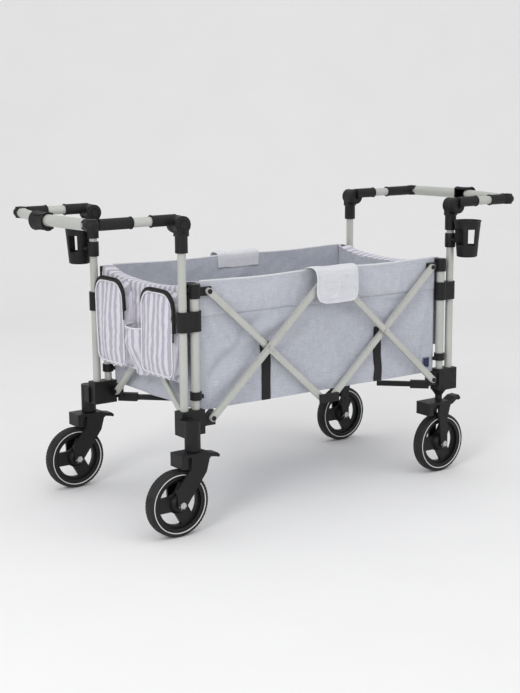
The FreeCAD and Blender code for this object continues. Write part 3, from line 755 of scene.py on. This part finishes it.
class Pouch:
    """A zipped pocket: pillowed front panel, gusset, piping along its edge, zip on top and one side."""

    def __init__(self, name, sx, centre_y, low, high, width, deep, body, seed, lean=0.0, puff=0.011):
        self.name, self.sx, self.body, self.seed = name, sx, body, seed
        self.centre = np.array([centre_y, (low + high) / 2])
        self.deep, self.puff = deep, puff
        self.edge = outline(width, high - low, 0.052, 0.022, lean=lean)
        self.high = high - low

    def place(self, flat, depth):
        """Points at a distance from the end panel, from positions on it."""
        spot = self.centre + flat
        out = PANEL_X + depth
        return np.stack([self.sx * out, spot[..., 0], spot[..., 1]], -1)

    def front_depth(self, flat, share):
        """The front panel crowns, sags low down and has soft folds from its corners."""
        crown = self.puff * (1 - share ** 2.6)
        sag = 1 + 0.55 * np.clip(-flat[..., 1] / self.high * 2, -0.6, 1)
        folds = 0.0022 * ripple(flat[..., 0], flat[..., 1] * 0.45, self.seed, 0.075) * (1 - share ** 6)
        folds = folds + 0.0007 * ripple(flat[..., 0], flat[..., 1], self.seed + 1, 0.028) * (1 - share ** 8)
        return self.deep - 0.006 + crown * sag + folds

    def gusset(self, share):
        """A ring of the side wall: share 0 at the back, 1 at the front edge."""
        pinch = 1 - 0.030 * math.sin(math.pi * share)
        flat = self.edge * np.array([pinch, 1 - 0.018 * math.sin(math.pi * share)])
        wobble = 0.0012 * ripple(self.edge[:, 0], self.edge[:, 1], self.seed + 5, 0.05)
        return self.place(flat, share * (self.deep - 0.006) + wobble * share)

    def build(self):
        count = len(self.edge)
        rings = [self.place(self.edge * share, self.front_depth(self.edge * share, np.full(count, share)))
                 for share in np.linspace(0.04, 0.985, 26)]
        rings += [self.gusset(share) for share in np.linspace(1, 0, 9)]
        rings += [self.place(self.edge * share, np.zeros(count)) for share in (0.8, 0.5, 0.2)]
        points = np.concatenate(rings)
        faces = grid_faces(len(rings), count, wrap=True, flip=self.sx > 0)
        first = tuple(range(count))
        last = tuple(range((len(rings) - 1) * count, len(rings) * count))
        faces += [first[::-1], last] if self.sx < 0 else [first, last[::-1]]
        body = piece(self.name, points, faces, STRIPES, self.body)
        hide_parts("end_pouches")
        soften(body, 0.9, 0.0045)
        squash_end(body)
        edge = self.place(self.edge * 0.955, self.front_depth(self.edge * 0.955, np.full(count, 0.955)))
        squash_end(tube_piece(f"{self.name}_piping", edge, 0.0027, WHITE, self.body, closed=True))

    def zip(self, start, end):
        """A black zip with its slider along the front edge, between two shares of the way round."""
        count = len(self.edge)
        index = np.arange(int(start * count), int(end * count)) % count
        flat = self.edge[index]
        away = flat / np.linalg.norm(flat, axis=1, keepdims=True)
        turn = np.linspace(-0.35, 1.25, 9)[:, None, None]
        ring = flat[None] + away[None] * (ZIP_WIDE * np.sin(turn) - 0.004)
        depth = self.deep - 0.004 - ZIP_WIDE * (1 - np.cos(turn[:, :, 0]))
        rows = self.place(ring, depth + np.zeros(len(index)))
        squash_end(sheet_piece(
            f"{self.name}_zip_tape", rows if self.sx < 0 else rows[:, ::-1], 0.0014, TAPE, self.body,
        ))
        line, lift = rows[5], np.stack([np.zeros(len(index)), away[:, 0], away[:, 1]], 1)
        out = np.array([self.sx * 0.0012, 0, 0]) + lift * 0.0010
        spots = resample(line + out, 0.0030)
        coil = []
        for spot, ahead in zip(spots, frames(spots, False)[2]):
            across = np.cross(ahead, (self.sx, 0.0, 0.0)) * 0.0030
            tooth = [spot + across * share for share in (-1, -0.3, 0.3, 1)]
            coil.append(tube_mesh(tooth, 0.0010, sides=6))
        squash_end(piece(f"{self.name}_zip_coil", *merged(coil), TAPE, self.body))
        tip = (line + out)[-1]
        pull = [tip + np.array([self.sx * 0.0015, 0, dz]) for dz in (0.002, -0.008, -0.018, -0.027)]
        puller = tube_mesh(pull, 0.0036, flat=0.5)
        squash_end(piece(f"{self.name}_zip_pull", *puller, TAPE, self.body))


def soften(made, pressure, cap):
    """Lets the pouch swell a little as cloth, with each point's move capped."""
    mesh = made.data
    before = np.array([v.co for v in mesh.vertices])
    copy = bpy.data.objects.new(made.name + "_work", mesh.copy())
    bpy.context.scene.collection.objects.link(copy)
    held = copy.vertex_groups.new(name="held")
    back = PANEL_X + 0.012
    held.add([i for i, p in enumerate(before) if abs(p[0]) < back], 1.0, "REPLACE")
    cloth = copy.modifiers.new("cloth", "CLOTH")
    cloth.settings.quality = 5
    cloth.settings.mass = 0.25
    cloth.settings.tension_stiffness = 18
    cloth.settings.compression_stiffness = 18
    cloth.settings.bending_stiffness = 0.6
    cloth.settings.use_pressure = True
    cloth.settings.uniform_pressure_force = pressure
    cloth.settings.vertex_group_mass = "held"
    cloth.settings.effector_weights.gravity = 0.35
    scene = bpy.context.scene
    for number in range(1, 15):
        scene.frame_set(number)
    shape = copy.evaluated_get(bpy.context.evaluated_depsgraph_get()).to_mesh()
    after = np.array([v.co for v in shape.vertices])
    scene.frame_set(1)
    bpy.data.objects.remove(copy)
    if len(after) != len(before):
        return
    move = after - before
    size = np.linalg.norm(move, axis=1, keepdims=True)
    move *= np.minimum(1, cap / np.maximum(size, 1e-9))
    mesh.vertices.foreach_set("co", (before + move).astype(np.float32).ravel())
    mesh.update()


def bottle_pocket():
    """An open pocket between the pouches, gathered towards its bottom."""
    u = np.linspace(-1, 1, 61)[None, :]
    v = np.linspace(0, 1, 51)[:, None]
    half = 0.036 + 0.021 * step(v, 0.0, 0.55)
    deep = 0.010 + 0.040 * step(v, 0.0, 0.7)
    y = -0.004 + half * np.sin(u * math.pi / 2) * (1 - 0.05 * v)
    bulge = np.abs(np.cos(u * math.pi / 2)) ** 0.75
    z = 0.434 + 0.146 * v + 0.004 * (1 - bulge) * v - 0.008 * (1 - v) * bulge
    gather = 0.0026 * np.sin(u * 19 + 0.8) * (1 - v) ** 1.2 + 0.0016 * ripple(y + 0 * v, z, 77, 0.045)
    out = PANEL_X + 0.0012 + bulge * np.maximum(deep + gather, 0.002)
    points = np.stack([-out, y + 0 * out, z + 0 * out], -1)
    pocket = sheet_piece("bottle_pocket", points, 0.0016, STRIPES, "upper_fl")
    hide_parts("end_pouches")
    squash_end(pocket)
    squash_end(tube_piece("bottle_pocket_binding", points[-1], 0.0028, WHITE, "upper_fl"))


def organiser():
    """The striped panel that hangs over the end rim, outside the end bars, and carries the pouches."""
    for sx, name, body, half in ((-1, "organiser", "upper_fl", 0.246), (1, "organiser_rear", "upper_rl", 0.236)):
        run = np.linspace(0, 1, 76)[:, None]
        u = np.linspace(-half, half, 101)[None, :]
        rim = end_rim(u) + 0.0050
        hang = step(run, 0.12, 0.17)
        over = np.clip(run / 0.15, 0, 1)
        x = TUB_X - 0.004 + (PANEL_X - TUB_X + 0.004) * np.sin(over * math.pi / 2)
        x = x + 0.0014 * np.clip(ripple(u + 0 * run, run + 0 * u, 61, 0.1), -0.4, 1.5) * hang
        z = rim + 0.004 * np.sin(over * math.pi) - np.clip((run - 0.12) / 0.88, 0, 1) * (rim - 0.437)
        points = np.stack([sx * x + 0 * u, u + 0 * run, z + 0 * x], -1)
        panel = sheet_piece(name, points if sx > 0 else points[:, ::-1], 0.0020, STRIPES, body)
        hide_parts("end_pouches")
        squash_end(panel)
        edge = np.concatenate([points[12:, 0], points[-1, 1:-1], points[12:, -1][::-1]])
        squash_end(tube_piece(f"{name}_binding", resample(edge, 0.004), 0.0018, WHITE, body))
        top_line = points[14, 2:-2] + np.array([sx * 0.0016, 0, -0.012])
        stitch_piece(f"{name}_stitches", [top_line], body, squash_end)


def pouches():
    organiser()
    right = Pouch("pouch_right", -1, -0.1515, 0.452, 0.712, 0.182, 0.046, "upper_fl", 101)
    right.build()
    right.zip(0.490, 0.865)
    left = Pouch("pouch_left", -1, 0.1360, 0.446, 0.716, 0.176, 0.044, "upper_fl", 202, lean=0.05)
    left.build()
    left.zip(0.490, 0.820)
    rear = Pouch("pouch_rear", 1, 0.0, 0.436, 0.690, 0.440, 0.024, "upper_rl", 303, puff=0.006)
    rear.build()
    bottle_pocket()


# ---------------------------------------------------------------- wheels
def tyres():
    for corner in CORNERS:
        low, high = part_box(f"tyre_{corner}")
        centre = tuple((low + high) / 2)
        half = (high.y - low.y) / 2
        seat = WHEEL_R - 0.0155
        profile = [
            (seat, -half + 0.004), (seat + 0.001, -half + 0.0022), (seat + 0.004, -half + 0.0014),
            (WHEEL_R - 0.0075, -half + 0.0004), (WHEEL_R - 0.0045, -half + 0.0014),
            (WHEEL_R - 0.0018, -half + 0.0042),
            (WHEEL_R - 0.0006, -half + 0.0085),
        ]
        tread = [-half + 0.0112, -half + 0.0120, -0.0045, -0.0037]
        tread += [-y for y in tread[::-1]]
        profile += [(WHEEL_R - (0.0012 if i in (1, 2, 5, 6) else 0.0002), y) for i, y in enumerate(tread)]
        profile += [(r, -y) for r, y in profile[6::-1]]
        lugs = 60

        def wobble(row, angle):
            shoulder = (row >= 4) & (row <= 7) | (row >= 14) & (row <= 17)
            cut = np.cos(angle * lugs + row * 0.35) > 0.55
            return np.where(shoulder & cut, -0.0011, 0.0)

        ring = lathe(profile, lugs * 6, centre, wobble)
        made = piece(f"tyre_tread_{corner}", *ring, RUBBER, f"wheel_{corner}")
        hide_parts(f"tyre_{corner}")
        rings = []
        for sign in (-1, 1):
            face = sign * (half - 0.0010)
            section = [(seat + 0.0010, face - sign * 0.0022), (seat + 0.0010, face + sign * 0.0004),
                       (seat + 0.0036, face + sign * 0.0006), (seat + 0.0036, face - sign * 0.0016)]
            rings.append(lathe(section if sign > 0 else section[::-1], 128, centre))
        piece(f"white_ring_{corner}", *merged(rings), RING, f"wheel_{corner}")
        hub_caps(corner, centre)


def hub_caps(corner, centre):
    """A raised hub boss with a groove on each face, between the spokes and the fork."""
    rings = []
    for sign in (-1, 1):
        profile = [(0.0118, 0.0150), (0.0118, 0.0226), (0.0150, 0.0229), (0.0160, 0.0222), (0.0168, 0.0229),
                   (0.0195, 0.0224), (0.0232, 0.0196), (0.0262, 0.0120), (0.0300, 0.0075), (0.0300, 0.0050)]
        section = [(r, sign * y) for r, y in profile]
        rings.append(lathe(section if sign < 0 else section[::-1], 72, centre))
    piece(f"hub_boss_{corner}", *merged(rings), BLACK, f"wheel_{corner}")


# ---------------------------------------------------------------- trim on the frame
def screw_mesh(centre, axis, radius=0.0036, tall=0.0014):
    """A domed screw head with a recess."""
    axis = np.asarray(axis, float)
    side = np.cross(axis, (0.0, 0.0, 1.0)) if abs(axis[2]) < 0.9 else np.array([1.0, 0, 0])
    side /= np.linalg.norm(side)
    up = np.cross(axis, side)
    rings = [(1.0, -0.6), (1.0, 0.35), (0.86, 0.8), (0.5, 1.0), (0.42, 0.55), (0.2, 0.5)]
    sides = 20
    angle = np.arange(sides) * 2 * math.pi / sides
    points = []
    for share, level in rings:
        r = radius * share
        if share <= 0.42:
            r = r * (1 + 0.12 * np.cos(6 * angle))
        ring = side[None] * (np.cos(angle) * r)[:, None] + up[None] * (np.sin(angle) * r)[:, None]
        points.append(np.asarray(centre) + ring + axis * level * tall)
    faces = grid_faces(len(rings), sides, wrap=True)
    faces += [tuple(range(sides))[::-1], tuple(range((len(rings) - 1) * sides, len(rings) * sides))]
    return np.concatenate(points), faces


def cup_cages():
    """Open cup holders: a cup foot, a rim band, four uprights and a band round the post."""
    foot_r, rim_r, tall, thick = 0.034, 0.045, 0.122, 0.0032
    for corner in ("fr", "rl"):
        sx, sy = CORNERS[corner]
        foot_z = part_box(f"cup_holder_{corner}")[0].z
        centre = np.array([sx * CUP_X, sy * CUP_Y])
        to_post = math.atan2(sy * POST_Y - centre[1], sx * POST_X - centre[0])

        def shell(start, end, under, over):
            angle = to_post + np.radians(np.linspace(start, end, 2 + int(abs(end - start) / 6)))[None, :]
            level = np.linspace(under, over, 7)[:, None]
            radius = foot_r + (rim_r - foot_r) * level / tall - thick / 2 + 0 * angle
            spots = [centre[0] + radius * np.cos(angle), centre[1] + radius * np.sin(angle)]
            return layered(np.stack([*spots, foot_z + level + 0 * angle], -1), thick)

        parts = [shell(-180, 180, 0.002, 0.040), shell(-180, 180, 0.094, tall - 0.001)]
        parts.append(shell(-52, 52, 0.036, 0.098))
        parts += [shell(side * a - 13, side * a + 13, 0.036, 0.098) for a in (112, 172) for side in (-1, 1)]
        rings = [(0.001, 0.0), (foot_r - 0.004, 0.0), (foot_r - 0.0005, 0.0035), (foot_r - 0.004, 0.0050),
                 (0.001, 0.0050)]
        at_foot = (*centre, foot_z)
        parts.append(upright_ring(rings, at_foot))
        lip = [(rim_r - 0.0035, tall - 0.002), (rim_r + 0.0012, tall - 0.004), (rim_r + 0.0020, tall - 0.001),
               (rim_r + 0.0005, tall + 0.0008), (rim_r - 0.0030, tall + 0.0006)]
        parts.append(upright_ring(np.array(lip), at_foot))
        post = (sx * POST_X, sy * POST_Y, foot_z)
        band = [(0.0129, 0.028), (0.0168, 0.028), (0.0182, 0.031)]
        band += [(r, 0.104 - z) for r, z in band[::-1]]
        parts.append(upright_ring(np.array(band), post))
        away = np.array([math.cos(to_post), math.sin(to_post)])
        web = []
        for share in (0, 1):
            towards = (np.array(post[:2]) - centre) * 0.80
            spot = centre + away * (foot_r + 0.003) * (1 - share) + towards * share
            web.append((*spot, foot_z + 0.054))
        web = np.linspace(web[0], web[1], 5)
        parts.append(tube_mesh(web, 0.0205, sides=24, flat=0.42))
        cage = piece(f"cup_cage_{corner}", *merged(parts), BLACK, f"lower_{corner}")
        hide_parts(f"cup_holder_{corner}")


def upright_ring(profile, centre, steps=56):
    """A ring turned about Z through centre, from (radius, z) points."""
    points, faces = lathe(profile, steps, (0, 0, 0))
    return points[:, [0, 2, 1]] + np.asarray(centre), [face[::-1] for face in faces]


def screws():
    """Screws in the feet, clamps, forks and brackets."""
    for corner, (sx, sy) in CORNERS.items():
        post = (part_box(f"posts_{corner}")[0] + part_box(f"posts_{corner}")[1]) / 2
        outer_x, inner_x = sx * POST_X, sx * (POST_X - POST_GAP)
        spots = [((x, sy * (abs(post.y) + 0.021), z), (0, sy, 0))
                 for x, z in ((outer_x, 0.346), (inner_x, 0.346), (outer_x, 0.303), (inner_x, 0.303))]
        spots += [(((outer_x + inner_x) / 2, s * 0.018 + sy * abs(post.y), z), (0, s, 0))
                  for z in (0.612, 0.648) for s in (-1, 1)]
        screws_here = merged([screw_mesh(c, a) for c, a in spots])
        piece(f"foot_screws_{corner}", *screws_here, BLACK, f"lower_{corner}")
        wheel = (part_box(f"tyre_{corner}")[0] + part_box(f"tyre_{corner}")[1]) / 2
        leg = 0.0325
        lean = 0.35 if sx < 0 else 0.0
        spots = [((wheel.x + lean * (z - wheel.z), wheel.y + s * leg, z), (0, s, 0)) for z in (0.165, 0.205)
                 for s in (-1, 1)]
        carrier = f"caster_{corner}" if sx < 0 else f"lower_{corner}"
        piece(f"fork_screws_{corner}", *merged([screw_mesh(c, a, 0.0042) for c, a in spots]), BLACK, carrier)


def knuckle_caps():
    """The stepped round cover on the outer face of each handle joint, round the button."""
    for corner, (sx, sy) in CORNERS.items():
        side = 1 if sx < 0 else -1
        button = (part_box(f"button_{corner}")[0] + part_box(f"button_{corner}")[1]) / 2
        face = sy * POST_Y - side * 0.013
        centre = (button.x, face, PIVOT_Z)
        profile = [(0.0136, 0.0), (0.0138, 0.0026), (0.0150, 0.0032), (0.0172, 0.0030), (0.0180, 0.0016),
                   (0.0215, 0.0014), (0.0222, 0.0004), (0.0222, -0.001), (0.0136, -0.001)]
        section = [(r, -side * y) for r, y in profile]
        cover = lathe(section if side > 0 else section[::-1], 72, centre)
        piece(f"joint_cover_{corner}", *cover, BLACK, f"lower_{corner}")
        arm = [(0.0262, 0.0), (0.0268, 0.003), (0.0268, 0.021), (0.0262, 0.024), (0.0225, 0.0262), (0.0170, 0.0268),
               (0.0165, 0.0258), (0.0110, 0.0256), (0.0105, 0.0266), (0.0088, 0.0266), (0.0088, 0.0)]
        start = sy * POST_Y + side * 0.0137
        section = [(r, side * y) for r, y in arm]
        piece(f"arm_cover_{corner}", *lathe(section[::-1] if side > 0 else section, 72, (button.x, start, PIVOT_Z)),
              GRIP, f"arm_{corner}")


def crossbar_boots():
    """A flared boot round the crossbar's middle joint, closed on the outer side and open for the fold."""
    for corner, (sx, sy) in (("fl", CORNERS["fl"]), ("rr", CORNERS["rr"])):
        elbow = np.array([sx * THICK_ELBOW_X, sy * POST_Y - sx * ARM_SIDE])
        other = np.array([sx * THIN_ELBOW_X, -sy * POST_Y - sx * ARM_SIDE])
        chord = np.linalg.norm(other - elbow)
        lean = math.atan2(BOW, chord / 2) - math.atan2(THICK_ELBOW_X - THIN_ELBOW_X, 2 * POST_Y)
        along = np.array([sx * math.sin(lean), -sy * math.cos(lean)])
        out = np.array([sx * math.cos(lean), sy * math.sin(lean)])
        long = math.hypot(chord / 2, BOW)
        rows = np.linspace(0, 1, 15)
        arc = np.radians(np.linspace(-118, 118, 41))
        points = []
        for share in rows:
            at = long - 0.044 + 0.066 * share
            pinch = 1 - 0.05 * math.sin(math.pi * share)
            for angle in arc:
                wide = (0.0222 + 0.0015 * abs(2 * share - 1)) * pinch
                high = math.sin(angle) * (0.0240 if angle > 0 else 0.0275) * (1 + 0.06 * share)
                spot = elbow + along * at + out * math.cos(angle) * wide
                points.append((spot[0], spot[1], ARM_Z - 0.002 + high * pinch))
        grid = np.array(points).reshape(len(rows), len(arc), 3)
        sheet_piece(f"crossbar_boot_{corner}", grid, 0.0032, GRIP, f"crossbar_{corner}")
        for ring, name in ((0, "inner"), (-1, "outer")):
            tube_piece(f"boot_{name}_lip_{corner}", grid[ring], 0.0025, GRIP, f"crossbar_{corner}")


def elbow_balls():
    """A smooth ball over each crossbar's elbow joint."""
    radius, tall = 0.0238, 0.0186
    bend = np.radians(np.linspace(-88, 88, 23))
    for corner, (sx, sy) in CORNERS.items():
        elbow_x = sx * (THICK_ELBOW_X if sx == sy else THIN_ELBOW_X)
        profile = np.stack([radius * np.cos(bend), tall * np.sin(bend)], 1)
        ball = upright_ring(profile, (elbow_x, sy * POST_Y - sx * ARM_SIDE, ARM_Z), 48)
        piece(f"elbow_ball_{corner}", *ball, GRIP, f"crossbar_{corner}")


def socket_rings():
    """Moulded rings where tubes enter plastic at the grips' ends."""
    for corner, (sx, sy) in CORNERS.items():
        y = sy * POST_Y - sx * ARM_SIDE
        spots = [(GREY_FROM - 0.001, 0.0174), (GREY_TO + 0.001, 0.0174)]
        parts = [axle_ring((sx * x, y, ARM_Z), r) for x, r in spots]
        piece(f"arm_rings_{corner}", *merged(parts), GRIP, f"arm_{corner}")


def axle_ring(centre, radius):
    """A thin rounded ring about the X axis."""
    profile = [(radius - 0.0025, -0.0022), (radius, -0.0022), (radius + 0.0012, -0.001), (radius + 0.0012, 0.001),
               (radius, 0.0022), (radius - 0.0025, 0.0022)]
    points, faces = lathe(profile, 48, (0, 0, 0))
    return points[:, [1, 0, 2]] + np.asarray(centre), faces


# ---------------------------------------------------------------- stage, light and camera
AZIMUTH, ELEVATION, ROLL = math.radians(-35.96), math.radians(10.17), -0.0063
CAMERA_AT = Vector((-2.6016, -3.5306, 1.2855))
FOCAL_PX, LONG_SIDE_PX = 1325.7, 693


def stage():
    """A pale floor that curves up into a backdrop behind the wagon."""
    ahead = Vector((-math.sin(AZIMUTH), math.cos(AZIMUTH), 0))
    across = Vector((math.cos(AZIMUTH), math.sin(AZIMUTH), 0))
    profile = [(-7.0, 0.0), (3.2, 0.0)]
    for angle in np.radians(np.linspace(6, 90, 15)):
        profile.append((3.2 + 2.2 * math.sin(angle), 2.2 - 2.2 * math.cos(angle)))
    profile.append((5.4, 7.0))
    points, faces = [], []
    for run, rise in profile:
        for wide in (-9, 9):
            spot = ahead * run + across * wide
            points.append((spot.x, spot.y, rise - 0.0005))
    for i in range(len(profile) - 1):
        faces.append((2 * i, 2 * i + 1, 2 * i + 3, 2 * i + 2))
    mesh = bpy.data.meshes.new("stage")
    mesh.from_pydata(points, [], faces)
    mesh.polygons.foreach_set("use_smooth", [True] * len(mesh.polygons))
    floor = bpy.data.objects.new("stage", mesh)
    bpy.context.scene.collection.objects.link(floor)
    paint = Paint("pale_floor")
    tones = [(0.3, (0.855, 0.855, 0.855)), (0.7, (0.87, 0.87, 0.87))]
    paint.colour(paint.ramp(paint.grain(3, detail=3), tones))
    paint.rough(paint.grain(8), 0.85, 0.95)
    mesh.materials.append(paint.material)


def area_light(name, at, size, power, colour=(1, 1, 1)):
    data = bpy.data.lights.new(name, "AREA")
    data.shape = "RECTANGLE"
    data.size, data.size_y = size
    data.energy = power
    data.color = colour
    lamp = bpy.data.objects.new(name, data)
    lamp.location = at
    lamp.rotation_euler = (Vector((0, 0, 0.5)) - Vector(at)).to_track_quat("-Z", "Y").to_euler()
    bpy.context.scene.collection.objects.link(lamp)


def lights():
    area_light("top", (-0.4, -0.6, 4.6), (5.0, 5.0), 46)
    area_light("key", (-4.6, -2.8, 3.2), (1.6, 1.6), 78)
    area_light("fill", (3.0, -4.6, 2.4), (3.0, 3.0), 24)
    world = bpy.data.worlds.new("pale")
    world.use_nodes = True
    background = world.node_tree.nodes["Background"]
    background.inputs["Color"].default_value = (0.95, 0.95, 0.96, 1)
    background.inputs["Strength"].default_value = 0.78
    bpy.context.scene.world = world
    bpy.context.scene.view_settings.view_transform = "Standard"


def camera():
    data = bpy.data.cameras.new("camera")
    data.sensor_width = 36
    data.lens = FOCAL_PX / LONG_SIDE_PX * data.sensor_width
    data.shift_x = -0.0094
    data.shift_y = -0.0186
    data.clip_end = 60
    made = bpy.data.objects.new("camera", data)
    made.location = CAMERA_AT
    level = math.cos(ELEVATION)
    look = Vector((-math.sin(AZIMUTH) * level, math.cos(AZIMUTH) * level, -math.sin(ELEVATION)))
    made.rotation_euler = look.to_track_quat("-Z", "Y").to_euler()
    made.rotation_euler.rotate_axis("Z", ROLL)
    bpy.context.scene.collection.objects.link(made)
    bpy.context.scene.camera = made


paint_frame()
paint_crossbars()
long_walls()
end_walls()
floor_mats()
pouches()
tyres()
screws()
knuckle_caps()
crossbar_boots()
elbow_balls()
socket_rings()
cup_cages()
stage()
lights()
camera()
